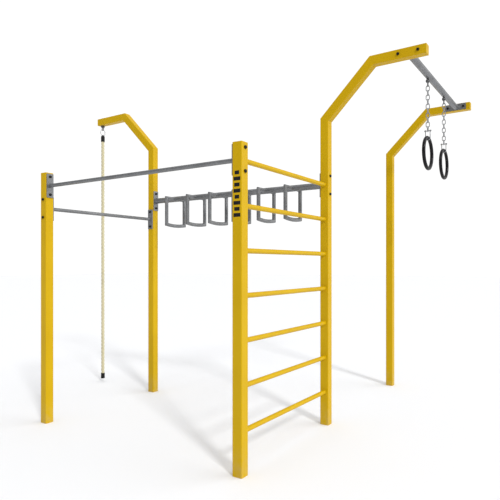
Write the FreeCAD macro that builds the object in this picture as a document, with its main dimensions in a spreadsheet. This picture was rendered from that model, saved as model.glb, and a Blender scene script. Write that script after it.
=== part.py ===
import FreeCAD, Part
import math
import os
import re

import Sketcher

# Monkey bars on five square-tube posts.  Two short posts carry the high bar; three crane posts, each mitred
# over into an arm, carry the low bar, the handle beam, the ring beam with two chain-hung rings, and the rope.
# Frame: origin on the ground under the middle of the overall box, +X along the high bar, +Y from the short
# posts towards the ring bay, +Z up.  Millimetres.

SIZES = [
    # plan and heights
    ("bar_span", 2180, "post axis to post axis, along the high bar and the handle beam"),
    ("ladder_span", 1385, "post axis to post axis, along the ladder and the low bar"),
    ("ring_span", 1815, "post axis to post axis, along the ring beam"),
    ("short_post_height", 2310, "ground to the top of a short post's cap"),
    ("arm_height", 3230, "ground to the axis of an arm"),
    ("arm_reach", 910, "post axis to the outer face of the arm's end cap"),
    ("brace_rise", 445, "height, and reach, of the slanted length between post and arm"),
    ("high_bar_height", 2190, "ground to the axis of the high bar"),
    ("low_bar_height", 1980, "ground to the axis of the low bar"),
    ("handle_beam_height", 2190, "ground to the axis of the handle beam"),
    ("ring_beam_reach", 760, "post axis to the axis of the ring beam"),
    # square tube
    ("post_side", 80, "outside of the square tube"),
    ("post_wall", 3, "wall of the square tube"),
    ("post_corner", 6, "outer corner radius of the square tube"),
    ("cap_plate", 3, "thickness of the welded end plates of the square tube"),
    # round tube
    ("bar_dia", 33.7, "outside of the two bars"),
    ("bar_wall", 3.2, "wall of the two bars"),
    ("rung_dia", 38, "outside of a rung"),
    ("rung_wall", 3, "wall of a rung"),
    ("beam_dia", 60.3, "outside of the two beams"),
    ("beam_wall", 3.6, "wall of the two beams"),
    ("rung_first", 300, "ground to the axis of the lowest rung"),
    ("rung_pitch", 315, "rung to rung"),
    # end plates and their bolts
    ("plate_long", 220, "length of a bar's end plate"),
    ("plate_wide", 70, "width of a bar's end plate"),
    ("plate_thick", 8, "thickness of a bar's end plate"),
    ("plate_corner", 5, "corner radius of a bar's end plate"),
    ("bolt_spacing", 165, "bolt to bolt in one end plate"),
    ("bolt_dia", 10, "shank of a frame bolt"),
    ("bolt_play", 0.5, "radial clearance of a bolt in its hole"),
    ("thread_gap", 0.1, "radial clearance of a nut or washer on its bolt"),
    ("hex_flats", 16, "across the flats of a bolt head or nut"),
    ("head_thick", 6.4, "thickness of a bolt head"),
    ("nut_thick", 6, "thickness of a frame nut"),
    ("washer_dia", 19, "outside of a frame washer"),
    ("washer_thick", 1.5, "thickness of a frame washer"),
    ("bolt_proud", 1, "bolt past its nut"),
    ("cap_play", 0.5, "radial clearance of a bolt cap round its washer"),
    ("cap_room", 1.5, "clearance of a bolt cap over its bolt"),
    ("cap_wall", 2, "wall of a bolt cap"),
    ("cap_round", 4, "rounding of a bolt cap's edge"),
    # handles under the beam
    ("handle_dia", 38, "outside of a handle's tube"),
    ("handle_wall", 3, "wall of a handle's tube"),
    ("handle_pitch", 298, "handle to handle"),
    ("handle_half", 145, "beam axis to the axis of a handle's leg"),
    ("handle_low", 299, "beam axis down to the lowest point of the grip's axis"),
    ("grip_bow", 950, "bow radius of the grip"),
    ("weld_gap", 0.2, "clearance between a coped tube end and the beam it is welded to"),
    # running gear of the rings
    ("ring_spacing", 630, "chain to chain"),
    ("run_gap", 0.3, "clearance between two pieces that hang in each other"),
    ("eye_wire", 10, "round bar of an eye"),
    ("eye_bore", 20, "inside of an eye"),
    ("shank_dia", 12, "shank of an eye bolt"),
    ("collar_dia", 26, "collar of an eye bolt"),
    ("collar_thick", 4, "thickness of the collar under the ring beam"),
    ("eye_nut_flats", 18, "across the flats of an eye bolt's nut"),
    ("eye_nut_thick", 10, "thickness of an eye bolt's nut"),
    ("eye_washer_dia", 32, "outside of an eye bolt's washer"),
    ("eye_washer_thick", 2.5, "thickness of an eye bolt's washer"),
    ("shackle_wire", 8, "round bar of a shackle"),
    ("pin_dia", 8, "shackle pin"),
    ("pin_play", 0.1, "radial clearance of a shackle pin in its lugs"),
    ("lug_dia", 17, "outside of a shackle's lug"),
    ("pin_head_dia", 14, "head and end of a shackle pin"),
    ("pin_head_thick", 6, "thickness of a shackle pin's head"),
    ("top_jaw", 18, "inside width of a top shackle"),
    ("top_throat", 48, "pin axis to the bow's axis in a top shackle"),
    ("ring_play", 1, "clearance of a ring on each side in its shackle"),
    ("low_throat", 85, "pin axis to the bow's axis in a low shackle"),
    ("wire_dia", 8, "round bar of a chain link"),
    ("link_bow", 15.5, "bend radius of a chain link, to the bar's axis"),
    ("chain_pitch", 42.15, "link to link"),
    ("ring_radius", 143, "ring axis to the axis of its tube"),
    ("ring_thick", 32, "tube of a ring, with its coating"),
    # rope
    ("rope_reach", 860, "post axis to the rope"),
    ("rope_shank", 0.3, "bare shank between the rope's eye and its hanger"),
    ("flange_dia", 50, "flange under the arm at the rope's eye bolt"),
    ("flange_thick", 4, "thickness of that flange"),
    ("hanger_dia", 44, "round hanger under that flange"),
    ("hanger_tall", 18, "height of the hanger"),
    ("quick_wire", 8, "round bar of the quick link"),
    ("quick_bow", 34, "bend radius of the quick link, to the bar's axis"),
    ("quick_straight", 8, "straight side of the quick link"),
    ("lug_wire", 8, "round bar of the rope fitting's loop"),
    ("lug_bow", 14, "bend radius of that loop, to the bar's axis"),
    ("lug_leg", 0.3, "straight length of that loop above the sleeve"),
    ("rope_dia", 40, "rope"),
    ("rope_fit", 0.3, "radial clearance of the rope in its sleeves"),
    ("sleeve_wall", 2.7, "wall of a rope sleeve"),
    ("sleeve_long", 70, "length of the upper sleeve"),
    ("low_sleeve_long", 65, "length of the lower sleeve"),
    ("sleeve_bevel", 3, "bevel round the top of the upper sleeve"),
    ("sleeve_low", 46, "ground to the bottom of the lower sleeve"),
    ("sleeve_floor", 12, "closed end of a sleeve"),
]
RUNGS = 7
HANDLES = 6
LINKS = 10

ALIASES = {name for name, _, _ in SIZES}

doc = FreeCAD.newDocument("monkey_bars")
sheet = doc.addObject("Spreadsheet::Sheet", "sizes")
for row, (name, size, note) in enumerate(SIZES, start=1):
    sheet.set(f"A{row}", name)
    sheet.set(f"B{row}", str(size))
    sheet.set(f"C{row}", note)
    sheet.setAlias(f"B{row}", name)
doc.recompute()

# Places that more than one piece shares, as expressions of the sizes.
LEFT = "-bar_span / 2"
RIGHT = "bar_span / 2"
FRONT = "-(ladder_span + ring_span) / 2"
MIDDLE = "(ladder_span - ring_span) / 2"
BACK = "(ladder_span + ring_span) / 2"
RING_BEAM_X = "bar_span / 2 + ring_beam_reach"
ROPE_X = "-bar_span / 2 - rope_reach"
RING_MID_Y = "ladder_span / 2"

X = FreeCAD.Vector(1, 0, 0)
Y = FreeCAD.Vector(0, 1, 0)
Z = FreeCAD.Vector(0, 0, 1)


def size(name):
    """The sheet's value of one size."""
    return float(sheet.get(name))


def expression(text):
    """The text with each size's name turned into a reference to its cell."""

    def cell(word):
        return "sizes." + word.group() if word.group() in ALIASES else word.group()

    return re.sub(r"[a-z_]\w*", cell, text)


def bind(thing, **properties):
    """Ties properties of a document object to expressions of the sizes."""
    for name, text in properties.items():
        thing.setExpression(name, expression(str(text)))
    return thing


def place(thing, x="0", y="0", z="0", turn=None):
    """Turns an object, and ties its position to expressions of the sizes."""
    thing.Placement = FreeCAD.Placement(FreeCAD.Vector(), turn or FreeCAD.Rotation())
    for axis, text in (("x", x), ("y", y), ("z", z)):
        thing.setExpression("Placement.Base." + axis, expression(str(text)))
    return thing


def axes(new_x, new_z):
    """The rotation that carries +X to new_x and +Z to new_z."""
    return FreeCAD.Rotation(new_x, new_z.cross(new_x), new_z, "ZXY")


ALONG_X = axes(-Z, X)
ALONG_Y = axes(X, Y)
ALONG_MINUS_Y = axes(X, -Y)
QUARTER = FreeCAD.Rotation(Z, 90)
HALF = FreeCAD.Rotation(Z, 180)


def cylinder(radius, height, x="0", y="0", z="0", turn=None):
    solid = bind(doc.addObject("Part::Cylinder", "Cylinder"), Radius=radius, Height=height)
    return place(solid, x, y, z, turn)


def prism(flats, height, z="0"):
    """A hexagonal prism, as wide across its flats as given."""
    solid = doc.addObject("Part::Prism", "Hexagon")
    solid.Polygon = 6
    bind(solid, Circumradius=f"({flats}) / sqrt(3)", Height=height)
    return place(solid, z=z)


def torus(radius, bar, degrees=360, x="0", y="0", z="0", turn=None):
    """A ring of round bar about its own Z axis; 180 degrees of it lie on its +Y side."""
    solid = doc.addObject("Part::Torus", "Torus")
    solid.Angle1 = -180
    solid.Angle2 = 180
    solid.Angle3 = degrees
    bind(solid, Radius1=radius, Radius2=f"({bar}) / 2")
    return place(solid, x, y, z, turn)


def fuse(*solids):
    union = doc.addObject("Part::MultiFuse", "Fusion")
    union.Shapes = list(solids)
    union.Refine = True
    return union


def cut(base, *tools):
    result = doc.addObject("Part::Cut", "Cut")
    result.Base = base
    result.Tool = tools[0] if len(tools) == 1 else fuse(*tools)
    return result


def group(*things):
    compound = doc.addObject("Part::Compound", "Group")
    compound.Links = list(things)
    return compound


def copy(thing, x="0", y="0", z="0", turn=None):
    return place(group(thing), x, y, z, turn)


def round_edges(base, radius_name, wanted):
    """Rounds the edges that a test picks out, all by one size."""
    doc.recompute()
    radius = size(radius_name)
    rounded = doc.addObject("Part::Fillet", "Fillet")
    rounded.Base = base
    picked = [number for number, edge in enumerate(base.Shape.Edges, start=1) if wanted(edge)]
    rounded.Edges = [(number, radius, radius) for number in picked]
    return rounded


def tube(outside, wall, length, x="0", y="0", z="0", turn=None):
    """A round tube, from its own base along its own +Z."""
    outer = cylinder(f"({outside}) / 2", length)
    bore = cylinder(f"({outside}) / 2 - {wall}", length)
    return place(cut(outer, bore), x, y, z, turn)


pieces = []


def piece(label, thing):
    """Makes an object one of the parts that are written out."""
    thing.Label = label
    pieces.append(thing)
    return thing


# --- Sketches -------------------------------------------------------------------------------------------------


def origin_plane(body, role):
    return next(plane for plane in body.Origin.OriginFeatures if plane.Role == role)


def new_sketch(body, name, role):
    sketch = body.newObject("Sketcher::SketchObject", name)
    sketch.AttachmentSupport = [(origin_plane(body, role), "")]
    sketch.MapMode = "FlatFace"
    return sketch


def limit(sketch, text, *constraint):
    """Adds a dimension to a sketch and ties it to an expression."""
    index = sketch.addConstraint(Sketcher.Constraint(*constraint))
    sketch.setExpression(f"Constraints[{index}]", expression(text))


def draw_rounded_square(sketch, side_text, side, corner_text, corner):
    """Draws a square about the origin with its corners rounded."""
    half = side / 2
    flat = half - corner
    first = sketch.GeometryCount
    for quarter in range(4):
        turn = FreeCAD.Rotation(Z, 90 * quarter)
        start = turn.multVec(FreeCAD.Vector(half, -flat, 0))
        end = turn.multVec(FreeCAD.Vector(half, flat, 0))
        centre = turn.multVec(FreeCAD.Vector(flat, flat, 0))
        sketch.addGeometry(Part.LineSegment(start, end))
        circle = Part.Circle(centre, Z, corner)
        begin = math.radians(90 * quarter)
        sketch.addGeometry(Part.ArcOfCircle(circle, begin, begin + math.pi / 2))
    for quarter in range(4):
        line = first + 2 * quarter
        arc = line + 1
        following = first + (2 * quarter + 2) % 8
        sketch.addConstraint(Sketcher.Constraint("Tangent", line, 2, arc, 1))
        sketch.addConstraint(Sketcher.Constraint("Tangent", arc, 2, following, 1))
    sketch.addConstraint(Sketcher.Constraint("Vertical", first + 4))
    sketch.addConstraint(Sketcher.Constraint("Horizontal", first + 6))
    for quarter in range(1, 4):
        sketch.addConstraint(Sketcher.Constraint("Equal", first + 1, first + 1 + 2 * quarter))
    sketch.addConstraint(Sketcher.Constraint("Symmetric", first, 1, first, 2, -1))
    sketch.addConstraint(Sketcher.Constraint("Symmetric", first + 2, 1, first + 2, 2, -2))
    limit(sketch, f"({side_text}) / 2", "DistanceX", -1, 1, first, 1, half)
    limit(sketch, f"({side_text}) / 2", "DistanceY", -1, 1, first + 2, 1, half)
    limit(sketch, corner_text, "Radius", first + 1, corner)


def square_tube_profile(body):
    sketch = new_sketch(body, "TubeProfile", "XY_Plane")
    side = size("post_side")
    wall = size("post_wall")
    corner = size("post_corner")
    draw_rounded_square(sketch, "post_side", side, "post_corner", corner)
    draw_rounded_square(
        sketch, "post_side - 2 * post_wall", side - 2 * wall, "post_corner - post_wall", corner - wall
    )
    return sketch


def short_post_body():
    """The plain length of square tube that a short post is, without its holes."""
    body = doc.addObject("PartDesign::Body", "ShortPost")
    profile = square_tube_profile(body)
    pad = body.newObject("PartDesign::Pad", "Tube")
    pad.Profile = profile
    bind(pad, Length="short_post_height - cap_plate")
    return body


def crane_body():
    """A crane post, its arm along +X: upright, slanted length and arm in one mitred run."""
    body = doc.addObject("PartDesign::Body", "Crane")
    profile = square_tube_profile(body)
    path = new_sketch(body, "CranePath", "XZ_Plane")
    rise = size("brace_rise")
    height = size("arm_height")
    reach = size("arm_reach") - size("cap_plate")
    corners = [(0, 0), (0, height - rise), (rise, height), (reach, height)]
    points = [FreeCAD.Vector(across, up, 0) for across, up in corners]
    for start, end in zip(points, points[1:]):
        path.addGeometry(Part.LineSegment(start, end))
    for line in range(len(points) - 2):
        path.addConstraint(Sketcher.Constraint("Coincident", line, 2, line + 1, 1))
    path.addConstraint(Sketcher.Constraint("Coincident", 0, 1, -1, 1))
    path.addConstraint(Sketcher.Constraint("Vertical", 0))
    path.addConstraint(Sketcher.Constraint("Horizontal", 2))
    limit(path, "arm_height - brace_rise", "DistanceY", -1, 1, 0, 2, height - rise)
    limit(path, "arm_height", "DistanceY", -1, 1, 1, 2, height)
    limit(path, "brace_rise", "DistanceX", -1, 1, 1, 2, rise)
    limit(path, "arm_reach - cap_plate", "DistanceX", -1, 1, 2, 2, reach)
    pipe = body.newObject("PartDesign::AdditivePipe", "Tube")
    pipe.Profile = profile
    pipe.Spine = (path, ["Edge1", "Edge2", "Edge3"])
    pipe.Transition = "Right corner"
    return body


def handle_body():
    """A handle hung under a beam that runs along X, in one mitred run: stub, leg, bowed grip, leg, stub."""
    body = doc.addObject("PartDesign::Body", "Handle")
    half = size("handle_half")
    bow = size("grip_bow")
    bow_y = bow - size("handle_low")
    lean = math.asin(half / bow)
    foot_y = bow_y - bow * math.cos(lean)
    # The run stops just short of where it began, so that its path stays open.
    corners = [(0, 0), (-half, 0), (-half, foot_y), (half, foot_y), (half, 0), (1, 0)]
    points = [FreeCAD.Vector(across, up, 0) for across, up in corners]
    path = new_sketch(body, "HandlePath", "YZ_Plane")
    for start, end in (points[0:2], points[1:3]):
        path.addGeometry(Part.LineSegment(start, end))
    grip = Part.Circle(FreeCAD.Vector(0, bow_y, 0), Z, bow)
    path.addGeometry(Part.ArcOfCircle(grip, 1.5 * math.pi - lean, 1.5 * math.pi + lean))
    for start, end in (points[3:5], points[4:6]):
        path.addGeometry(Part.LineSegment(start, end))
    for line in range(4):
        path.addConstraint(Sketcher.Constraint("Coincident", line, 2, line + 1, 1))
    for line in (0, 4):
        path.addConstraint(Sketcher.Constraint("Horizontal", line))
    for line in (1, 3):
        path.addConstraint(Sketcher.Constraint("Vertical", line))
    path.addConstraint(Sketcher.Constraint("Coincident", 0, 1, -1, 1))
    path.addConstraint(Sketcher.Constraint("PointOnObject", 3, 2, -1))
    path.addConstraint(Sketcher.Constraint("PointOnObject", 2, 3, -2))
    limit(path, "handle_half", "DistanceX", 0, 2, -1, 1, half)
    limit(path, "handle_half", "DistanceX", -1, 1, 3, 2, half)
    limit(path, "weld_gap", "DistanceX", -1, 1, 4, 2, 1)
    limit(path, "grip_bow", "Radius", 2, bow)
    limit(path, "grip_bow - handle_low", "DistanceY", -1, 1, 2, 3, bow_y)
    profile = new_sketch(body, "HandleProfile", "XZ_Plane")
    outside = size("handle_dia") / 2
    for number, (text, drawn) in enumerate(
        (("handle_dia / 2", outside), ("handle_dia / 2 - handle_wall", outside - size("handle_wall")))
    ):
        profile.addGeometry(Part.Circle(FreeCAD.Vector(), Z, drawn))
        profile.addConstraint(Sketcher.Constraint("Coincident", number, 3, -1, 1))
        limit(profile, text, "Radius", number, drawn)
    pipe = body.newObject("PartDesign::AdditivePipe", "Tube")
    pipe.Profile = profile
    pipe.Spine = (path, [f"Edge{number}" for number in range(1, 6)])
    pipe.Transition = "Right corner"
    return body


# --- Shapes that are used more than once ----------------------------------------------------------------------


def oval(bow, bar, straight):
    """A closed oval of round bar in the XZ plane, centred on the origin, its long way along Z."""
    top = torus(bow, bar, 180, z=f"({straight}) / 2", turn=axes(X, -Y))
    bottom = torus(bow, bar, 180, z=f"-({straight}) / 2", turn=axes(X, Y))
    sides = [cylinder(f"({bar}) / 2", straight, x=f"{sign}({bow})", z=f"-({straight}) / 2") for sign in "-+"]
    return fuse(top, bottom, *sides)


def shackle(jaw, throat):
    """A D-shackle and its pin, as two solids: pin along X through the origin, bow below in the XZ plane."""
    leg_x = f"({jaw}) / 2 + shackle_wire / 2"
    leg = f"{throat} - ({leg_x})"
    bow = torus(leg_x, "shackle_wire", 180, z=f"-({leg})", turn=axes(X, Y))
    legs = [cylinder("shackle_wire / 2", leg, x=f"{sign}({leg_x})", z=f"-({leg})") for sign in "-+"]
    lugs = [
        cylinder("lug_dia / 2", "shackle_wire", x=f"{sign}({leg_x}) - shackle_wire / 2", turn=ALONG_X)
        for sign in "-+"
    ]
    span = f"{jaw} + 2 * shackle_wire"
    hole = cylinder("pin_dia / 2 + pin_play", span, x=f"-({span}) / 2", turn=ALONG_X)
    frame = cut(fuse(bow, *legs, *lugs), hole)
    pin_length = f"{span} + 2 * run_gap + pin_head_thick"
    pin = cylinder("pin_dia / 2", pin_length, x=f"-({span}) / 2 - run_gap", turn=ALONG_X)
    head = cylinder("pin_head_dia / 2", "pin_head_thick", x=f"-({span}) / 2 - run_gap - pin_head_thick", turn=ALONG_X)
    nut = cylinder("pin_head_dia / 2", "pin_head_thick", x=f"({span}) / 2 + run_gap", turn=ALONG_X)
    return group(frame, fuse(pin, head, nut))


def eye_bolt(shank, collar, collar_z):
    """An eye in the XZ plane about the origin, with its shank up to the given height above the eye."""
    ring = torus("eye_bore / 2 + eye_wire / 2", "eye_wire", turn=ALONG_Y)
    stem_start = "eye_bore / 2 + eye_wire / 2"
    stem = cylinder("shank_dia / 2", f"{shank} - ({stem_start})", z=stem_start)
    washer = cylinder("collar_dia / 2", collar, z=collar_z)
    return fuse(ring, stem, washer)


def hex_nut(flats, height, bore, z="0"):
    return cut(prism(flats, height, z), cylinder(bore, height, z=z))


def washer_disc(outside, bore, thick, z="0"):
    return cut(cylinder(f"{outside} / 2", thick, z=z), cylinder(bore, thick, z=z))


def is_vertical(edge):
    return abs(edge.BoundBox.ZLength) > 1e-6 and edge.BoundBox.XLength + edge.BoundBox.YLength < 1e-6


# One bar end's fixing, in its own frame: the origin on the far face of the post, +Z through the post towards
# the bar, and the end plate's long way along X.
PLATE_Z = "post_side"
OUTER_Z = "post_side + plate_thick"
BOLT_PLACES = ("-bolt_spacing / 2", "bolt_spacing / 2")


def end_plate():
    blank = bind(doc.addObject("Part::Box", "Plate"), Length="plate_long", Width="plate_wide", Height="plate_thick")
    place(blank, "-plate_long / 2", "-plate_wide / 2", PLATE_Z)
    rounded = round_edges(blank, "plate_corner", is_vertical)
    holes = [cylinder("bolt_dia / 2 + bolt_play", "plate_thick", x=x, z=PLATE_Z) for x in BOLT_PLACES]
    return cut(rounded, *holes)


def plate_holes():
    """The holes that one fixing needs right through its post."""
    return fuse(*[cylinder("bolt_dia / 2 + bolt_play", "post_side", x=x) for x in BOLT_PLACES])


def frame_bolt():
    head_z = "-washer_thick - head_thick"
    head = prism("hex_flats", "head_thick", head_z)
    length = "post_side + plate_thick + 2 * washer_thick + nut_thick + bolt_proud"
    shank = cylinder("bolt_dia / 2", length, z="-washer_thick")
    return fuse(head, shank)


def frame_nut_set():
    """A nut with its washer on the plate, and the washer under the bolt's head."""
    bore = "bolt_dia / 2 + thread_gap"
    nut = hex_nut("hex_flats", "nut_thick", bore, f"{OUTER_Z} + washer_thick")
    return group(
        nut,
        washer_disc("washer_dia", bore, "washer_thick", OUTER_Z),
        washer_disc("washer_dia", bore, "washer_thick", "-washer_thick"),
    )


def bolt_cap():
    """A domed cap with its rim on the XY plane, closed upwards."""
    bore = "washer_dia / 2 + cap_play"
    inside = "washer_thick + nut_thick + bolt_proud + cap_room"
    blank = cylinder(f"{bore} + cap_wall", f"{inside} + cap_wall")
    doc.recompute()
    top = blank.Shape.BoundBox.ZMax
    dome = round_edges(blank, "cap_round", lambda edge: edge.BoundBox.ZMin > top - 0.001)
    return cut(dome, cylinder(bore, inside))


# --- Posts ----------------------------------------------------------------------------------------------------

short_post = short_post_body()
crane = crane_body()
holes = plate_holes()

FIXINGS = {
    # name: (post axis x, post axis y, height, direction of the bar, long way of the plate)
    "high_bar_left": (LEFT, FRONT, "high_bar_height", X, Z),
    "high_bar_right": (RIGHT, FRONT, "high_bar_height", -X, Z),
    "low_bar_front": (LEFT, FRONT, "low_bar_height", Y, Z),
    "low_bar_back": (LEFT, MIDDLE, "low_bar_height", -Y, Z),
    "handle_beam_left": (LEFT, MIDDLE, "handle_beam_height", X, Z),
    "handle_beam_right": (RIGHT, MIDDLE, "handle_beam_height", -X, Z),
    "ring_beam_front": (RING_BEAM_X, MIDDLE, "arm_height", Y, X),
    "ring_beam_back": (RING_BEAM_X, BACK, "arm_height", -Y, X),
}


def at_fixing(thing, name):
    """A copy of something drawn in a fixing's own frame, put at one of the bar ends."""
    x, y, z, normal, long_way = FIXINGS[name]
    if normal.x:
        x = f"{x} - ({normal.x}) * post_side / 2"
    else:
        y = f"{y} - ({normal.y}) * post_side / 2"
    return copy(thing, x, y, z, axes(long_way, normal))


def drilled(post, *fixings):
    return cut(post, *[at_fixing(holes, name) for name in fixings])


piece("post_front_left", drilled(copy(short_post, LEFT, FRONT), "high_bar_left", "low_bar_front"))
piece("post_front_right", drilled(copy(short_post, RIGHT, FRONT), "high_bar_right"))
rope_post = drilled(copy(crane, LEFT, MIDDLE, turn=HALF), "low_bar_back", "handle_beam_left")
rope_bolt_hole = cylinder("shank_dia / 2 + bolt_play", "post_side", ROPE_X, MIDDLE, "arm_height - post_side / 2")
piece("crane_post_rope", cut(rope_post, rope_bolt_hole))
piece("crane_post_ring_near", drilled(copy(crane, RIGHT, MIDDLE), "handle_beam_right", "ring_beam_front"))
piece("crane_post_ring_far", drilled(copy(crane, RIGHT, BACK), "ring_beam_back"))

cap_blank = bind(doc.addObject("Part::Box", "CapPlate"), Length="post_side", Width="post_side", Height="cap_plate")
place(cap_blank, "-post_side / 2", "-post_side / 2")
end_cap = round_edges(cap_blank, "post_corner", is_vertical)
TOP_CAP_Z = "short_post_height - cap_plate"
piece("post_top_caps", group(*[copy(end_cap, x, FRONT, TOP_CAP_Z) for x in (LEFT, RIGHT)]))
piece(
    "crane_end_caps",
    group(
        copy(end_cap, f"{LEFT} - arm_reach", MIDDLE, "arm_height", ALONG_X),
        copy(end_cap, f"{RIGHT} + arm_reach - cap_plate", MIDDLE, "arm_height", ALONG_X),
        copy(end_cap, f"{RIGHT} + arm_reach - cap_plate", BACK, "arm_height", ALONG_X),
    ),
)

# --- Bars, beams and ladder -----------------------------------------------------------------------------------

END = "(post_side / 2 + plate_thick)"
LONG_BAR = f"bar_span - 2 * {END}"
piece("high_bar", tube("bar_dia", "bar_wall", LONG_BAR, f"{LEFT} + {END}", FRONT, "high_bar_height", ALONG_X))
low_length = f"ladder_span - 2 * {END}"
piece("low_bar", tube("bar_dia", "bar_wall", low_length, LEFT, f"{FRONT} + {END}", "low_bar_height", ALONG_Y))
handle_beam = tube("beam_dia", "beam_wall", LONG_BAR, f"{LEFT} + {END}", MIDDLE, "handle_beam_height", ALONG_X)
piece("handle_beam", handle_beam)

CHAIN_PLACES = {"near": f"{RING_MID_Y} - ring_spacing / 2", "far": f"{RING_MID_Y} + ring_spacing / 2"}
ring_length = f"ring_span - 2 * {END}"
ring_tube = tube("beam_dia", "beam_wall", ring_length, RING_BEAM_X, f"{MIDDLE} + {END}", "arm_height", ALONG_Y)
shank_holes = [
    cylinder("shank_dia / 2 + bolt_play", "beam_dia", RING_BEAM_X, y, "arm_height - beam_dia / 2")
    for y in CHAIN_PLACES.values()
]
piece("ring_beam", cut(ring_tube, *shank_holes))

rung = tube("rung_dia", "rung_wall", "ladder_span - post_side")
for number in range(RUNGS):
    height = f"rung_first + {number} * rung_pitch"
    piece(f"ladder_rung_{number + 1}", copy(rung, RIGHT, f"{FRONT} + post_side / 2", height, ALONG_Y))

# --- End plates, bolts, nuts and caps -------------------------------------------------------------------------

plate = end_plate()
bolts = group(*[copy(frame_bolt(), x) for x in BOLT_PLACES])
nut_sets = group(*[copy(frame_nut_set(), x) for x in BOLT_PLACES])
cap = bolt_cap()
caps = group(
    *[copy(cap, x, z=OUTER_Z) for x in BOLT_PLACES],
    *[copy(cap, x, turn=axes(X, -Z)) for x in BOLT_PLACES],
)
for label, shape in (
    ("bar_end_plates", plate),
    ("frame_bolts", bolts),
    ("frame_nuts", nut_sets),
    ("bolt_caps", caps),
):
    piece(label, group(*[at_fixing(shape, name) for name in FIXINGS]))

# --- Handles --------------------------------------------------------------------------------------------------

cope = cylinder("beam_dia / 2 + weld_gap", "4 * handle_dia", x="-2 * handle_dia", turn=ALONG_X)
coped_handle = cut(handle_body(), cope)
for number in range(HANDLES):
    x = f"{number - (HANDLES - 1) / 2} * handle_pitch"
    piece(f"handle_{number + 1}", copy(coped_handle, x, MIDDLE, "handle_beam_height"))

# --- Rings and their chains -----------------------------------------------------------------------------------

BEAM_TOP = "(arm_height + beam_dia / 2)"
EYE_UP = "(beam_dia / 2 + collar_thick + eye_bore / 2 + eye_wire)"
EYE_Z = f"(arm_height - {EYE_UP})"
TOP_PIN_Z = f"({EYE_Z} - eye_bore / 2 + pin_dia / 2 + run_gap)"
FIRST_LINK_TOP = f"({TOP_PIN_Z} - top_throat + shackle_wire / 2 + run_gap)"
LINK_INSIDE = "(chain_pitch + run_gap)"
FIRST_LINK_Z = f"({FIRST_LINK_TOP} - {LINK_INSIDE} / 2)"
LAST_LINK_Z = f"({FIRST_LINK_Z} - {LINKS - 1} * chain_pitch)"
LOW_PIN_Z = f"({LAST_LINK_Z} - {LINK_INSIDE} / 2 + pin_dia / 2 + run_gap)"
RING_TOP_Z = f"({LOW_PIN_Z} - low_throat + shackle_wire / 2 + run_gap + ring_thick / 2)"
RING_Z = f"({RING_TOP_Z} - ring_radius)"

NUT_STACK = "eye_washer_thick + eye_nut_thick + 3 * bolt_proud"
ring_eye = eye_bolt(f"{EYE_UP} + beam_dia / 2 + {NUT_STACK}", "collar_thick", "eye_bore / 2 + eye_wire")
shank_bore = "shank_dia / 2 + thread_gap"
eye_nut = group(
    washer_disc("eye_washer_dia", shank_bore, "eye_washer_thick"),
    hex_nut("eye_nut_flats", "eye_nut_thick", shank_bore, "eye_washer_thick"),
)
link = oval("link_bow", "wire_dia", f"{LINK_INSIDE} + wire_dia - 2 * link_bow")
top_shackle = shackle("top_jaw", "top_throat")
low_shackle = shackle("(ring_thick + 2 * ring_play)", "low_throat")
ring = torus("ring_radius", "ring_thick")

ring_eyes = []
eye_nuts = []
for side, y in CHAIN_PLACES.items():
    ring_eyes.append(copy(ring_eye, RING_BEAM_X, y, EYE_Z))
    eye_nuts.append(copy(eye_nut, RING_BEAM_X, y, BEAM_TOP))
    piece(f"top_shackle_{side}", copy(top_shackle, RING_BEAM_X, y, TOP_PIN_Z, QUARTER))
    for number in range(LINKS):
        turn = QUARTER if number % 2 else None
        height = f"{FIRST_LINK_Z} - {number} * chain_pitch"
        piece(f"chain_link_{side}_{number + 1}", copy(link, RING_BEAM_X, y, height, turn))
    piece(f"low_shackle_{side}", copy(low_shackle, RING_BEAM_X, y, LOW_PIN_Z))
    piece(f"ring_{side}", copy(ring, RING_BEAM_X, y, RING_Z, ALONG_X))

# --- Rope -----------------------------------------------------------------------------------------------------

ARM_TOP = "(arm_height + post_side / 2)"
NECK = "(eye_bore / 2 + eye_wire + rope_shank)"
ROPE_EYE_Z = f"(arm_height - post_side / 2 - flange_thick - hanger_tall - {NECK})"
rope_stem = eye_bolt(f"{ARM_TOP} + {NUT_STACK} - {ROPE_EYE_Z}", "hanger_tall", NECK)
hanger = cylinder("hanger_dia / 2", "hanger_tall", z=NECK)
flange = cylinder("flange_dia / 2", "flange_thick", z=f"{NECK} + hanger_tall")
ring_eyes.append(copy(fuse(rope_stem, hanger, flange), ROPE_X, MIDDLE, ROPE_EYE_Z))
eye_nuts.append(copy(eye_nut, ROPE_X, MIDDLE, ARM_TOP))
piece("eye_bolts", group(*ring_eyes))
piece("eye_bolt_nuts", group(*eye_nuts))

QUICK_TOP = f"({ROPE_EYE_Z} - eye_bore / 2 + run_gap + quick_wire / 2)"
QUICK_Z = f"({QUICK_TOP} - quick_bow - quick_straight / 2)"
quick_link = oval("quick_bow", "quick_wire", "quick_straight")
piece("rope_quick_link", copy(quick_link, ROPE_X, MIDDLE, QUICK_Z, QUARTER))

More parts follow.
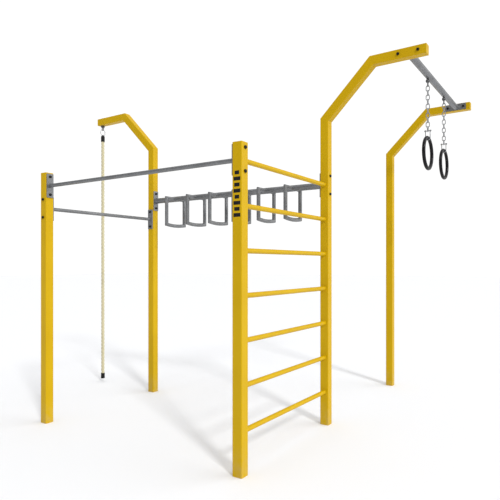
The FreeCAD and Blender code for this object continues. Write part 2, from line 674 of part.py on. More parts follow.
LOOP_TOP = f"({QUICK_Z} - quick_straight / 2 - quick_bow + quick_wire / 2 + run_gap + lug_wire / 2)"
LOOP_Z = f"({LOOP_TOP} - lug_bow)"
SLEEVE_TOP = f"({LOOP_Z} - lug_leg)"
SHOULDER = f"({SLEEVE_TOP} - sleeve_bevel)"
ROPE_EXIT = f"({SLEEVE_TOP} - sleeve_long)"
CAVITY_TOP = f"({SHOULDER} - sleeve_floor)"
sleeve_bore = "rope_dia / 2 + rope_fit"
sleeve_outside = f"{sleeve_bore} + sleeve_wall"
bevel = bind(
    doc.addObject("Part::Cone", "Bevel"),
    Radius1=sleeve_outside,
    Radius2=f"{sleeve_outside} - sleeve_bevel",
    Height="sleeve_bevel",
)
place(bevel, z=SHOULDER)
barrel = cylinder(sleeve_outside, f"{SHOULDER} - {ROPE_EXIT}", z=ROPE_EXIT)
loop = torus("lug_bow", "lug_wire", 180, z=LOOP_Z, turn=axes(X, -Y))
loop_legs = [
    cylinder("lug_wire / 2", f"{LOOP_Z} - {SHOULDER}", x=f"{sign}(lug_bow)", z=SHOULDER) for sign in "-+"
]
cavity = cylinder(sleeve_bore, f"{CAVITY_TOP} - {ROPE_EXIT}", z=ROPE_EXIT)
top_sleeve = cut(fuse(bevel, barrel, loop, *loop_legs), cavity)
piece("rope_sleeve_top", copy(top_sleeve, ROPE_X, MIDDLE))

ROPE_FOOT = "(sleeve_low + sleeve_floor)"
low_barrel = cylinder(sleeve_outside, "low_sleeve_long", z="sleeve_low")
low_cavity = cylinder(sleeve_bore, "low_sleeve_long - sleeve_floor", z=ROPE_FOOT)
piece("rope_sleeve_bottom", copy(cut(low_barrel, low_cavity), ROPE_X, MIDDLE))
piece("rope", cylinder("rope_dia / 2", f"{CAVITY_TOP} - {ROPE_FOOT}", ROPE_X, MIDDLE, ROPE_FOOT))

# --- Checks and export ----------------------------------------------------------------------------------------

doc.recompute()
for thing in doc.Objects:
    if "Invalid" in thing.State or "Error" in thing.State:
        raise RuntimeError(f"{thing.Label} ({thing.TypeId}) failed: {thing.State}")
for thing in pieces:
    if thing.Shape.isNull() or not thing.Shape.isValid():
        raise RuntimeError(f"{thing.Label} has no valid shape")

os.makedirs("parts", exist_ok=True)
for thing in pieces:
    thing.Shape.exportStep(f"parts/{thing.Label}.step")
    print(f"{thing.Label}: {len(thing.Shape.Solids)} solid(s), {thing.Shape.Volume / 1000:.1f} cm3")
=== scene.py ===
"""Finishes a set of square-tube monkey bars: powder coat, zinc, welds, laid rope, coated rings and a studio."""

import math

import bmesh
import bpy
from bpy.props import FloatProperty, FloatVectorProperty, IntProperty, PointerProperty
from mathutils import Matrix, Vector


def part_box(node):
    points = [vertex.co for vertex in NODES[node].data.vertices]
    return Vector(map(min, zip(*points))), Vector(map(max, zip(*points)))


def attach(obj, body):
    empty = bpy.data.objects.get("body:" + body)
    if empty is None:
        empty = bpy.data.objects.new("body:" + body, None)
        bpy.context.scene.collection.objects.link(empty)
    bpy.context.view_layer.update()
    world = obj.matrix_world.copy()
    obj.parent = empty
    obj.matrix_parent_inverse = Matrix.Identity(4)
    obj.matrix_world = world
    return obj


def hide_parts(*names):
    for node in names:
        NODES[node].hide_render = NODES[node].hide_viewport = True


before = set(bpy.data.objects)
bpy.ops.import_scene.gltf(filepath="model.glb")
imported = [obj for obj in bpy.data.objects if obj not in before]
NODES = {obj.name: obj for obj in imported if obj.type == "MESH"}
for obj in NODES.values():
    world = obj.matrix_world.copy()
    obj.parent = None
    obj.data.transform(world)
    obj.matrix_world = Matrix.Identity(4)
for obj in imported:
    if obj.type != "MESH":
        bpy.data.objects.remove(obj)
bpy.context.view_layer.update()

bl_info = {
    "name": "Monkey Bars Finishes",
    "version": (1, 0, 0),
    "blender": (4, 5, 0),
    "location": "View3D > Sidebar > Monkey Bars",
    "description": "Powder coat, zinc, welds, rope and studio for square-tube monkey bars",
    "category": "Object",
}

FRAME_BODY = "frame"
FULL_TURN = 2 * math.pi


def node_centre(name):
    low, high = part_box(name)
    return (low + high) / 2


def node_names(*starts):
    return sorted(name for name in NODES if name.startswith(starts))


# --- Sizes and colours a user would change ---------------------------------------------------------------------


def length_property(name, description, default):
    return FloatProperty(name=name, description=description, default=default, min=0, unit="LENGTH", precision=4)


def colour_property(name, description, default):
    return FloatVectorProperty(
        name=name, description=description, default=default, subtype="COLOR", size=4, min=0, max=1
    )


class PaintSettings(bpy.types.PropertyGroup):
    """The powder coat on posts, arms and rungs."""

    colour: colour_property("Colour", "Main colour of the powder coat", (0.575, 0.364, 0.0005, 1))
    deep_colour: colour_property("Deep colour", "Slightly deeper patches of the coat", (0.54, 0.334, 0.0005, 1))
    dust_colour: colour_property("Dust", "Dry dust near the ground", (0.45, 0.36, 0.2, 1))
    peel_size: length_property("Orange peel", "Width of one dimple of the coat", 0.0035)


class ZincSettings(bpy.types.PropertyGroup):
    """The galvanised bars, plates and handles."""

    light_colour: colour_property("Light zinc", "Bright crystals", (0.255, 0.261, 0.271, 1))
    dark_colour: colour_property("Dark zinc", "Dull crystals", (0.152, 0.156, 0.161, 1))
    crystal_size: length_property("Crystal", "Width of one zinc crystal", 0.009)


class WeldSettings(bpy.types.PropertyGroup):
    """The weld beads."""

    bead: length_property("Bead", "Radius of a weld bead", 0.0032)
    ripple: length_property("Ripple", "Height of the ripples on a bead", 0.0005)
    ripple_pitch: length_property("Ripple pitch", "Ripple to ripple along a bead", 0.0045)


class RopeSettings(bpy.types.PropertyGroup):
    """The climbing rope."""

    colour: colour_property("Fibre", "Colour of the rope's fibre", (0.6, 0.555, 0.37, 1))
    # Painted shade: a darker colour painted into the gaps between the yarns, where shade falls.
    yarn_gap_painted_shade_colour: colour_property("Fibre shade", "Colour between the yarns", (0.47, 0.42, 0.265, 1))
    strands: IntProperty(name="Strands", description="Strands laid into the rope", default=3, min=2, max=4)
    lay: length_property("Lay", "Length of one full turn of a strand", 0.134)


class StudioSettings(bpy.types.PropertyGroup):
    """The floor and the lights."""

    floor_colour: colour_property("Floor", "Colour of the floor", (0.872, 0.88, 0.9, 1))
    key_strength: FloatProperty(name="Key", description="Strength of the key light", default=1.6, min=0)
    side_strength: FloatProperty(name="Side", description="Strength of the side light", default=1.35, min=0)
    top_strength: FloatProperty(name="Top", description="Strength of the overhead light", default=0.86, min=0)
    sky_strength: FloatProperty(name="Sky", description="Strength of the surrounding light", default=0.45, min=0)


# --- Node helpers ----------------------------------------------------------------------------------------------


class Graph:
    """A small helper to add nodes to a tree and to wire them by socket name."""

    def __init__(self, tree):
        self.tree = tree

    def add(self, kind, inputs=None, **settings):
        node = self.tree.nodes.new(kind)
        for name, setting in settings.items():
            setattr(node, name, setting)
        for socket, wanted in (inputs or {}).items():
            self.set(node.inputs[socket], wanted)
        return node

    def set(self, socket, wanted):
        if isinstance(wanted, bpy.types.NodeSocket):
            self.tree.links.new(wanted, socket)
        else:
            socket.default_value = wanted

    def mix(self, factor, first, second):
        node = self.add("ShaderNodeMix", data_type="RGBA")
        self.set(node.inputs[0], factor)
        self.set(node.inputs[6], first)
        self.set(node.inputs[7], second)
        return node.outputs[2]

    def ramp(self, value, low, high, to_low=0.0, to_high=1.0):
        inputs = {"Value": value, "From Min": low, "From Max": high, "To Min": to_low, "To Max": to_high}
        return self.add("ShaderNodeMapRange", inputs).outputs["Result"]


def new_group(name, inputs, outputs):
    """A shader node group with named sockets; returns its graph and its input and output nodes."""
    tree = bpy.data.node_groups.new(name, "ShaderNodeTree")
    for label, default in inputs:
        socket = tree.interface.new_socket(label, in_out="INPUT", socket_type="NodeSocketFloat")
        socket.default_value = default
    for label, kind in outputs:
        tree.interface.new_socket(label, in_out="OUTPUT", socket_type=kind)
    graph = Graph(tree)
    return graph, graph.add("NodeGroupInput"), graph.add("NodeGroupOutput")


def grain_group():
    """Fine dimples over the whole surface, as a normal."""
    graph, given, result = new_group(
        "Surface Grain", [("Scale", 300.0), ("Strength", 0.2), ("Depth", 0.0002)], [("Normal", "NodeSocketVector")]
    )
    place = graph.add("ShaderNodeTexCoord").outputs["Object"]
    noise = graph.add("ShaderNodeTexNoise", {"Vector": place, "Scale": given.outputs["Scale"], "Detail": 2.0})
    bump = graph.add(
        "ShaderNodeBump",
        {
            "Height": noise.outputs["Fac"],
            "Strength": given.outputs["Strength"],
            "Distance": given.outputs["Depth"],
        },
    )
    graph.set(result.inputs["Normal"], bump.outputs["Normal"])
    return graph.tree


def patches_group():
    """Soft uneven patches, as a mask."""
    graph, given, result = new_group(
        "Soft Patches", [("Scale", 4.0), ("Low", 0.35), ("High", 0.65)], [("Mask", "NodeSocketFloat")]
    )
    place = graph.add("ShaderNodeTexCoord").outputs["Object"]
    noise = graph.add("ShaderNodeTexNoise", {"Vector": place, "Scale": given.outputs["Scale"], "Detail": 5.0})
    mask = graph.ramp(noise.outputs["Fac"], given.outputs["Low"], given.outputs["High"])
    graph.set(result.inputs["Mask"], mask)
    return graph.tree


def scuffs_group():
    """Sparse short scuffs, as a mask."""
    graph, given, result = new_group(
        "Scuffs", [("Scale", 30.0), ("Amount", 0.5)], [("Mask", "NodeSocketFloat")]
    )
    place = graph.add("ShaderNodeTexCoord").outputs["Object"]
    stretched = graph.add("ShaderNodeMapping", {"Vector": place, "Scale": (1.0, 1.0, 0.18)})
    noise = graph.add(
        "ShaderNodeTexNoise", {"Vector": stretched.outputs["Vector"], "Scale": given.outputs["Scale"], "Detail": 6.0}
    )
    marks = graph.ramp(noise.outputs["Fac"], 0.66, 0.74)
    product = graph.add("ShaderNodeMath", {0: marks, 1: given.outputs["Amount"]}, operation="MULTIPLY")
    graph.set(result.inputs["Mask"], product.outputs["Value"])
    return graph.tree


def foot_dust_group():
    """Dust that fades out upwards from the ground, as a mask."""
    graph, given, result = new_group(
        "Foot Dust", [("Height", 0.25), ("Amount", 0.4)], [("Mask", "NodeSocketFloat")]
    )
    place = graph.add("ShaderNodeTexCoord").outputs["Object"]
    height = graph.add("ShaderNodeSeparateXYZ", {"Vector": place}).outputs["Z"]
    fade = graph.ramp(height, 0.0, given.outputs["Height"], given.outputs["Amount"], 0.0)
    noise = graph.add("ShaderNodeTexNoise", {"Vector": place, "Scale": 22.0, "Detail": 6.0})
    broken = graph.ramp(noise.outputs["Fac"], 0.35, 0.7)
    product = graph.add("ShaderNodeMath", {0: fade, 1: broken}, operation="MULTIPLY")
    graph.set(result.inputs["Mask"], product.outputs["Value"])
    return graph.tree


def crystals_group():
    """Zinc crystals: one random value a cell, and a slight relief at the cells."""
    graph, given, result = new_group(
        "Zinc Crystals", [("Scale", 110.0)], [("Tone", "NodeSocketFloat"), ("Normal", "NodeSocketVector")]
    )
    place = graph.add("ShaderNodeTexCoord").outputs["Object"]
    cells = graph.add("ShaderNodeTexVoronoi", {"Vector": place, "Scale": given.outputs["Scale"]}, distance="MINKOWSKI")
    cells.inputs["Exponent"].default_value = 0.8
    tone = graph.add("ShaderNodeSeparateColor", {"Color": cells.outputs["Color"]}).outputs["Red"]
    bump = graph.add("ShaderNodeBump", {"Height": tone, "Strength": 0.12, "Distance": 0.0004})
    graph.set(result.inputs["Tone"], tone)
    graph.set(result.inputs["Normal"], bump.outputs["Normal"])
    return graph.tree


def shared_group(build):
    """The node group that a function builds, built once."""
    name = build.__name__
    tree = bpy.data.node_groups.get(name)
    if tree is None:
        tree = build()
        tree.name = name
    return tree


class Finish(Graph):
    """A material in the making, with its Principled shader."""

    def __init__(self, name):
        self.material = bpy.data.materials.new(name)
        self.material.use_nodes = True
        super().__init__(self.material.node_tree)
        self.shader = self.tree.nodes["Principled BSDF"]

    def shade(self, **inputs):
        for name, wanted in inputs.items():
            self.set(self.shader.inputs[name.replace("_", " ")], wanted)
        return self.material

    def effect(self, build, output, **inputs):
        node = self.add("ShaderNodeGroup", node_tree=shared_group(build))
        for name, wanted in inputs.items():
            self.set(node.inputs[name], wanted)
        return node.outputs[output]


# --- Materials -------------------------------------------------------------------------------------------------


def powder_coat(settings):
    finish = Finish("yellow_powder_coat")
    patches = finish.effect(patches_group, "Mask", Scale=3.0, Low=0.3, High=0.7)
    colour = finish.mix(patches, tuple(settings.colour), tuple(settings.deep_colour))
    dust = finish.effect(foot_dust_group, "Mask", Height=0.22, Amount=0.35)
    colour = finish.mix(dust, colour, tuple(settings.dust_colour))
    scuffs = finish.effect(scuffs_group, "Mask", Scale=26.0, Amount=1.0)
    grain = finish.effect(grain_group, "Normal", Scale=1 / settings.peel_size, Strength=0.09, Depth=0.0002)
    return finish.shade(
        Base_Color=colour,
        Roughness=finish.ramp(scuffs, 0.0, 1.0, 0.42, 0.55),
        Specular_IOR_Level=0.14,
        Normal=grain,
    )


def zinc(settings, name="galvanised_steel", light=1.0, roughness=0.42, metallic=0.6):
    finish = Finish(name)
    tone = finish.effect(crystals_group, "Tone", Scale=1 / settings.crystal_size)
    relief = finish.effect(crystals_group, "Normal", Scale=1 / settings.crystal_size)
    patches = finish.effect(patches_group, "Mask", Scale=7.0, Low=0.3, High=0.7)
    blend = finish.add("ShaderNodeMath", {0: tone, 1: patches}, operation="MULTIPLY_ADD")
    blend.inputs[2].default_value = 0.15
    bright = tuple(channel * light for channel in settings.light_colour[:3]) + (1,)
    dull = tuple(channel * light for channel in settings.dark_colour[:3]) + (1,)
    colour = finish.mix(blend.outputs["Value"], dull, bright)
    return finish.shade(
        Base_Color=colour,
        Metallic=metallic,
        Roughness=finish.ramp(tone, 0.0, 1.0, roughness - 0.06, roughness + 0.08),
        Normal=relief,
    )


def black_plastic():
    made = bpy.data.materials.get("black_plastic")
    if made:
        return made
    finish = Finish("black_plastic")
    patches = finish.effect(patches_group, "Mask", Scale=40.0, Low=0.3, High=0.7)
    colour = finish.mix(patches, (0.005, 0.005, 0.0055, 1), (0.009, 0.009, 0.0095, 1))
    grain = finish.effect(grain_group, "Normal", Scale=900.0, Strength=0.3, Depth=0.0002)
    return finish.shade(
        Base_Color=colour, Roughness=finish.ramp(patches, 0.0, 1.0, 0.4, 0.5), Specular_IOR_Level=0.2, Normal=grain
    )


def ring_coating():
    finish = Finish("ring_coating")
    patches = finish.effect(patches_group, "Mask", Scale=25.0, Low=0.3, High=0.7)
    colour = finish.mix(patches, (0.005, 0.0046, 0.006, 1), (0.009, 0.0083, 0.0105, 1))
    grain = finish.effect(grain_group, "Normal", Scale=700.0, Strength=0.06, Depth=0.0002)
    return finish.shade(
        Base_Color=colour, Roughness=finish.ramp(patches, 0.0, 1.0, 0.24, 0.3), Specular_IOR_Level=0.16, Normal=grain
    )


def rope_fibre(settings):
    """Laid fibre: fine yarns twist across each strand, from the strand's own UV map, with painted shade in the gaps
    between the yarns.
    """
    finish = Finish("rope_fibre")
    place = finish.add("ShaderNodeTexCoord").outputs["UV"]
    leaning = finish.add("ShaderNodeMapping", {"Vector": place, "Rotation": (0, 0, 0.62), "Scale": (1.0, 1.0, 1.0)})
    yarns = finish.add(
        "ShaderNodeTexWave", {"Vector": leaning.outputs["Vector"], "Scale": 95.0, "Distortion": 1.5, "Detail": 2.0}
    )
    hair = finish.add("ShaderNodeTexNoise", {"Vector": place, "Scale": 600.0, "Detail": 4.0})
    patches = finish.effect(patches_group, "Mask", Scale=18.0, Low=0.3, High=0.7)
    # Painted shade: the yarn pattern darkens the colour towards the gaps between the yarns.
    shade = finish.ramp(yarns.outputs["Fac"], 0.0, 0.7)
    colour = finish.mix(shade, tuple(settings.yarn_gap_painted_shade_colour), tuple(settings.colour))
    lighter = tuple(min(1.0, 1.05 * channel) for channel in settings.colour[:3]) + (1,)
    colour = finish.mix(finish.ramp(patches, 0.0, 1.0, 0.0, 0.6), colour, lighter)
    height = finish.add("ShaderNodeMath", {0: yarns.outputs["Fac"], 1: hair.outputs["Fac"]}, operation="ADD")
    bump = finish.add("ShaderNodeBump", {"Height": height.outputs["Value"], "Strength": 0.5, "Distance": 0.0008})
    return finish.shade(Base_Color=colour, Roughness=finish.ramp(patches, 0.0, 1.0, 0.8, 0.9), Normal=bump.outputs["Normal"])


def coat(material, names):
    """Gives CAD nodes a material in place of their plain one."""
    for name in names:
        data = NODES[name].data
        data.materials.clear()
        data.materials.append(material)


# --- Mesh helpers ----------------------------------------------------------------------------------------------


def finished_piece(name, bm, material, body=FRAME_BODY, smooth=True):
    """Turns a bmesh into an object at the origin that rides on a body."""
    bmesh.ops.recalc_face_normals(bm, faces=bm.faces[:])
    data = bpy.data.meshes.new(name)
    bm.to_mesh(data)
    bm.free()
    for polygon in data.polygons:
        polygon.use_smooth = smooth
    data.materials.append(material)
    piece = bpy.data.objects.new(name, data)
    bpy.context.scene.collection.objects.link(piece)
    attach(piece, body)
    return piece


def axes_matrix(centre, z_axis, y_axis):
    """Carries local Z to z_axis and local Y to y_axis, and the origin to the centre."""
    z_axis = Vector(z_axis)
    y_axis = Vector(y_axis)
    rotation = Matrix((y_axis.cross(z_axis), y_axis, z_axis)).transposed()
    return Matrix.Translation(centre) @ rotation.to_4x4()


def add_bead(bm, matrix, tube_radius, weld, beam_radius=None):
    """A rippled weld bead round a tube whose axis is local Z; with a beam, it follows the beam's side."""
    before = set(bm.verts)
    profile = bmesh.ops.create_circle(bm, segments=8, radius=weld.bead)["verts"]
    bmesh.ops.rotate(bm, verts=profile, cent=(0, 0, 0), matrix=Matrix.Rotation(math.pi / 2, 3, "X"))
    bmesh.ops.translate(bm, verts=profile, vec=(tube_radius, 0, 0))
    edges = list({edge for vert in profile for edge in vert.link_edges})
    around = FULL_TURN * tube_radius
    ripples = round(around / weld.ripple_pitch)
    bmesh.ops.spin(
        bm, geom=profile + edges, cent=(0, 0, 0), axis=(0, 0, 1), angle=FULL_TURN, steps=4 * ripples, use_merge=True
    )
    bead = [vert for vert in bm.verts if vert not in before]
    for vert in bead:
        turn = math.atan2(vert.co.y, vert.co.x)
        middle = Vector((math.cos(turn), math.sin(turn), 0)) * tube_radius
        swell = 1 + weld.ripple / weld.bead * math.sin(ripples * turn)
        vert.co = middle + (vert.co - middle) * swell
        if beam_radius:
            vert.co.z -= beam_radius - math.sqrt(beam_radius**2 - vert.co.y**2)
    bmesh.ops.transform(bm, verts=bead, matrix=matrix)


# --- Operators -------------------------------------------------------------------------------------------------


class MONKEYBARS_OT_stage(bpy.types.Operator):
    """Lays the pale floor and sets the lights and the camera"""

    bl_idname = "monkeybars.stage"
    bl_label = "Studio"

    FLOOR_SIZE = 120.0
    CAMERA_PLACE = (3.1075, -4.5166, 1.4662)
    CAMERA_TURN = 0.586
    CAMERA_LENS = 36.84
    CAMERA_SHIFT = 0.0283
    KEY_FROM = (0.7, -0.42, 0.58)
    SIDE_FROM = (0.8, 0.5, 0.33)
    TOP_FROM = (0, 0, 1)

    def execute(self, context):
        scene = context.scene
        settings = scene.monkeybars_studio
        bm = bmesh.new()
        bmesh.ops.create_grid(bm, x_segments=1, y_segments=1, size=self.FLOOR_SIZE / 2)
        data = bpy.data.meshes.new("floor")
        bm.to_mesh(data)
        bm.free()
        floor = bpy.data.objects.new("floor", data)
        scene.collection.objects.link(floor)
        finish = Finish("pale_floor")
        patches = finish.effect(patches_group, "Mask", Scale=0.5, Low=0.2, High=0.8)
        colour = tuple(settings.floor_colour)
        warmer = (colour[0], colour[1] * 0.998, colour[2] * 0.995, 1)
        data.materials.append(finish.shade(Base_Color=finish.mix(patches, colour, warmer), Roughness=0.9))

        self.add_sun("key", self.KEY_FROM, settings.key_strength, math.radians(8))
        self.add_sun("side", self.SIDE_FROM, settings.side_strength, math.radians(60))
        self.add_sun("top", self.TOP_FROM, settings.top_strength, math.radians(90))
        self.add_sky(scene, settings.sky_strength)

        camera = bpy.data.cameras.new("camera")
        camera.lens = self.CAMERA_LENS
        camera.shift_y = self.CAMERA_SHIFT
        camera.clip_end = 500
        viewpoint = bpy.data.objects.new("camera", camera)
        viewpoint.location = self.CAMERA_PLACE
        viewpoint.rotation_euler = (math.pi / 2, 0, self.CAMERA_TURN)
        scene.collection.objects.link(viewpoint)
        scene.camera = viewpoint
        scene.view_settings.view_transform = "Standard"
        return {"FINISHED"}

    def add_sun(self, name, towards, strength, spread):
        light = bpy.data.lights.new(name, "SUN")
        light.energy = strength
        light.angle = spread
        lamp = bpy.data.objects.new(name, light)
        lamp.rotation_euler = Vector(towards).to_track_quat("Z", "Y").to_euler()
        bpy.context.scene.collection.objects.link(lamp)

    def add_sky(self, scene, strength):
        """A white surround: bright where it is seen, softer as a light."""
        world = bpy.data.worlds.new("studio")
        world.use_nodes = True
        scene.world = world
        graph = Graph(world.node_tree)
        background = world.node_tree.nodes["Background"]
        background.inputs["Color"].default_value = (1, 1, 1, 1)
        seen = graph.add("ShaderNodeLightPath").outputs["Is Camera Ray"]
        graph.set(background.inputs["Strength"], graph.ramp(seen, 0.0, 1.0, strength, 1.05))


class MONKEYBARS_OT_rope(bpy.types.Operator):
    """Lays the climbing rope's strands between its two sleeves"""

    bl_idname = "monkeybars.rope"
    bl_label = "Climbing rope"

    # The rope hangs straight, so its route is one straight run from inside one sleeve to inside the other.
    ROUTE = [(-1.95, -0.215, 3.015), (-1.95, -0.215, 1.54), (-1.95, -0.215, 0.06)]
    EXIT = (-1.95, -0.215, 2.99)
    DIAMETER = 0.04
    STRAND_RADIUS = 0.3
    LENGTH = 2.955
    STEP = 0.005
    SIDES = 12

    def route_points(self):
        """Points along the route's NURBS line, evenly close together."""
        curve = bpy.data.curves.new("rope_route", "CURVE")
        curve.dimensions = "3D"
        spline = curve.splines.new("NURBS")
        spline.points.add(len(self.ROUTE) - 1)
        for point, place in zip(spline.points, self.ROUTE):
            point.co = (*place, 1)
        spline.order_u = 3
        spline.use_endpoint_u = True
        curve.resolution_u = round(self.LENGTH / self.STEP / (len(self.ROUTE) - 1))
        holder = bpy.data.objects.new("rope_route", curve)
        bpy.context.scene.collection.objects.link(holder)
        bpy.context.view_layer.update()
        line = bpy.data.meshes.new_from_object(holder.evaluated_get(bpy.context.evaluated_depsgraph_get()))
        points = [vertex.co.copy() for vertex in line.vertices]
        bpy.data.objects.remove(holder)
        bpy.data.curves.remove(curve)
        bpy.data.meshes.remove(line)
        return points

    def execute(self, context):
        settings = context.scene.monkeybars_rope
        points = self.route_points()
        strand_radius = self.STRAND_RADIUS * self.DIAMETER
        offset = self.DIAMETER / 2 - strand_radius
        bm = bmesh.new()
        uv = bm.loops.layers.uv.new("UVMap")
        side = bm.verts.layers.int.new("side")
        for strand in range(settings.strands):
            self.lay_strand(bm, uv, side, points, strand_radius, offset, FULL_TURN * strand / settings.strands, settings.lay)
        rope = finished_piece("climbing_rope", bm, rope_fibre(settings), "rope")
        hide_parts("rope")
        return {"FINISHED"}

    def lay_strand(self, bm, uv, side, points, radius, offset, start, lay):
        """Draws one strand's round section along the route, turning about it."""
        section = bmesh.ops.create_circle(bm, segments=self.SIDES, radius=radius)["verts"]
        for number, vert in enumerate(section):
            vert[side] = number
        edges = list({edge for vert in section for edge in vert.link_edges})
        bmesh.ops.translate(bm, verts=section, vec=(offset, 0, 0))
        bmesh.ops.rotate(bm, verts=section, cent=(0, 0, 0), matrix=Matrix.Rotation(start, 3, "Z"))
        bmesh.ops.translate(bm, verts=section, vec=points[0])
        bmesh.ops.edgeloop_fill(bm, edges=edges)
        travelled = 0.0
        for here, following in zip(points, points[1:]):
            step = following - here
            grown = bmesh.ops.extrude_edge_only(bm, edges=edges)["geom"]
            verts = [part for part in grown if isinstance(part, bmesh.types.BMVert)]
            edges = [part for part in grown if isinstance(part, bmesh.types.BMEdge)]
            faces = [part for part in grown if isinstance(part, bmesh.types.BMFace)]
            turn = Matrix.Rotation(FULL_TURN * step.length / lay, 3, step)
            bmesh.ops.translate(bm, verts=verts, vec=step)
            bmesh.ops.rotate(bm, verts=verts, cent=following, matrix=turn)
            new = set(verts)
            for face in faces:
                wraps = {vert[side] for vert in face.verts} == {0, self.SIDES - 1}
                for loop in face.loops:
                    number = self.SIDES if wraps and loop.vert[side] == 0 else loop.vert[side]
                    along = travelled + (step.length if loop.vert in new else 0.0)
                    loop[uv].uv = (number * FULL_TURN * radius / self.SIDES, along)
            travelled += step.length
        bmesh.ops.edgeloop_fill(bm, edges=edges)


class MONKEYBARS_OT_painted_frame(bpy.types.Operator):
    """Powder-coats the posts, arms and rungs, and welds the rungs on"""

    bl_idname = "monkeybars.painted_frame"
    bl_label = "Painted frame"

    def execute(self, context):
        material = powder_coat(context.scene.monkeybars_paint)
        coat(material, node_names("post_", "crane_", "ladder_rung_"))
        weld = context.scene.monkeybars_weld
        bm = bmesh.new()
        for name in node_names("ladder_rung_"):
            low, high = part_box(name)
            centre = (low + high) / 2
            radius = (high.z - low.z) / 2
            for y, outwards in ((low.y, (0, 1, 0)), (high.y, (0, -1, 0))):
                add_bead(bm, axes_matrix((centre.x, y, centre.z), outwards, (0, 0, 1)), radius, weld)
        finished_piece("rung_welds", bm, material)
        return {"FINISHED"}


class MONKEYBARS_OT_side_mark(bpy.types.Operator):
    """Prints a column of plain dark stripes on the front right post"""

    bl_idname = "monkeybars.side_mark"
    bl_label = "Side mark"

    LOW = 1.783
    HIGH = 2.117
    STRIPES = (0.057, 0.045, 0.057, 0.038, 0.057, 0.045, 0.057, 0.038)
    STRIPE_SHARE = 0.62
    THICKNESS = 0.0008
    CORNER = 0.002

    def execute(self, context):
        low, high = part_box("post_front_right")
        pitch = (self.HIGH - self.LOW) / len(self.STRIPES)
        bm = bmesh.new()
        for number, width in enumerate(self.STRIPES):
            stripe = bmesh.ops.create_cube(bm, size=1)["verts"]
            bmesh.ops.scale(bm, verts=stripe, vec=(width, self.THICKNESS, pitch * self.STRIPE_SHARE))
            place = ((low.x + high.x) / 2, low.y, self.LOW + pitch * (number + 0.5))
            bmesh.ops.translate(bm, verts=stripe, vec=place)
        upright = [edge for edge in bm.edges if abs(edge.verts[0].co.y - edge.verts[1].co.y) > self.THICKNESS / 2]
        bmesh.ops.bevel(
            bm, geom=upright, offset=self.CORNER, segments=3, profile=0.5, affect="EDGES", material=-1, clamp_overlap=True
        )
        finished_piece("side_mark", bm, black_plastic(), smooth=False)
        return {"FINISHED"}


class MONKEYBARS_OT_zinc_bars(bpy.types.Operator):
    """Galvanises the bars, beams, plates and handles, and welds them together"""

    bl_idname = "monkeybars.zinc_bars"
    bl_label = "Bars and handles"

    def execute(self, context):
        material = zinc(context.scene.monkeybars_zinc)
        coat(material, ["high_bar", "low_bar", "handle_beam", "ring_beam", "bar_end_plates"])
        handles = [name for name in node_names("handle_") if name != "handle_beam"]
        coat(material, handles)
        weld = context.scene.monkeybars_weld
        bm = bmesh.new()
        for name, along in (("high_bar", 0), ("handle_beam", 0), ("low_bar", 1), ("ring_beam", 1)):
            low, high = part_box(name)
            centre = (low + high) / 2
            radius = (high.z - low.z) / 2
            for end, sign in ((low[along], 1), (high[along], -1)):
                place = centre.copy()
                place[along] = end
                outwards = Vector((0, 0, 0))
                outwards[along] = sign
                add_bead(bm, axes_matrix(place, outwards, (0, 0, 1)), radius, weld)
        finished_piece("bar_end_welds", bm, material)
        bm = bmesh.new()
        low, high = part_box("handle_beam")
        beam_radius = (high.z - low.z) / 2
        beam = (low + high) / 2
        for name in handles:
            handle_low, handle_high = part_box(name)
            tube_radius = (handle_high.x - handle_low.x) / 2
            x = (handle_low.x + handle_high.x) / 2
            for sign in (-1, 1):
                place = (x, beam.y + sign * beam_radius, beam.z)
                add_bead(bm, axes_matrix(place, (0, sign, 0), (0, 0, 1)), tube_radius, weld, beam_radius)
        finished_piece("handle_welds", bm, material)
        return {"FINISHED"}


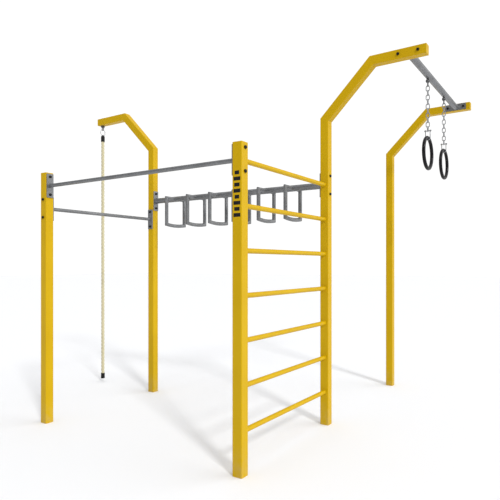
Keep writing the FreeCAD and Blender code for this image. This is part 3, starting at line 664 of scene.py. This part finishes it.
class MONKEYBARS_OT_fixings(bpy.types.Operator):
    """Finishes the bolts, nuts, caps, eye bolts, shackles, chains and sleeves"""

    bl_idname = "monkeybars.fixings"
    bl_label = "Fixings and chains"

    def execute(self, context):
        settings = context.scene.monkeybars_zinc
        plated = zinc(settings, "plated_steel", light=1.5, roughness=0.36, metallic=0.7)
        coat(plated, ["frame_bolts", "frame_nuts", "eye_bolt_nuts"] + node_names("low_shackle_", "chain_link_"))
        bright = zinc(settings, "bright_steel", light=2.4, roughness=0.3, metallic=0.7)
        coat(bright, ["rope_quick_link"])
        dark = zinc(settings, "dark_steel", light=0.7, roughness=0.4, metallic=0.7)
        coat(dark, ["eye_bolts"] + node_names("top_shackle_"))
        coat(black_plastic(), ["bolt_caps", "rope_sleeve_top", "rope_sleeve_bottom"])
        return {"FINISHED"}


class MONKEYBARS_OT_rings(bpy.types.Operator):
    """Coats the two rings"""

    bl_idname = "monkeybars.rings"
    bl_label = "Rings"

    def execute(self, context):
        coat(ring_coating(), ["ring_near", "ring_far"])
        return {"FINISHED"}


OPERATORS = (
    MONKEYBARS_OT_stage,
    MONKEYBARS_OT_rope,
    MONKEYBARS_OT_painted_frame,
    MONKEYBARS_OT_side_mark,
    MONKEYBARS_OT_zinc_bars,
    MONKEYBARS_OT_fixings,
    MONKEYBARS_OT_rings,
)
SETTINGS = {
    "monkeybars_paint": PaintSettings,
    "monkeybars_zinc": ZincSettings,
    "monkeybars_weld": WeldSettings,
    "monkeybars_rope": RopeSettings,
    "monkeybars_studio": StudioSettings,
}


class MONKEYBARS_PT_finishes(bpy.types.Panel):
    """Lists the steps that finish the monkey bars"""

    bl_idname = "MONKEYBARS_PT_finishes"
    bl_label = "Monkey Bars"
    bl_space_type = "VIEW_3D"
    bl_region_type = "UI"
    bl_category = "Monkey Bars"

    def draw(self, context):
        for operator in OPERATORS:
            self.layout.operator(operator.bl_idname)


def register():
    for settings in SETTINGS.values():
        bpy.utils.register_class(settings)
    for name, settings in SETTINGS.items():
        setattr(bpy.types.Scene, name, PointerProperty(type=settings))
    for operator in OPERATORS:
        bpy.utils.register_class(operator)
    bpy.utils.register_class(MONKEYBARS_PT_finishes)


def unregister():
    bpy.utils.unregister_class(MONKEYBARS_PT_finishes)
    for operator in reversed(OPERATORS):
        bpy.utils.unregister_class(operator)
    for name, settings in SETTINGS.items():
        delattr(bpy.types.Scene, name)
        bpy.utils.unregister_class(settings)


def main():
    register()
    bpy.ops.monkeybars.stage()
    bpy.ops.monkeybars.rope()
    bpy.ops.monkeybars.painted_frame()
    bpy.ops.monkeybars.side_mark()
    bpy.ops.monkeybars.zinc_bars()
    bpy.ops.monkeybars.fixings()
    bpy.ops.monkeybars.rings()


if __name__ == "__main__":
    main()
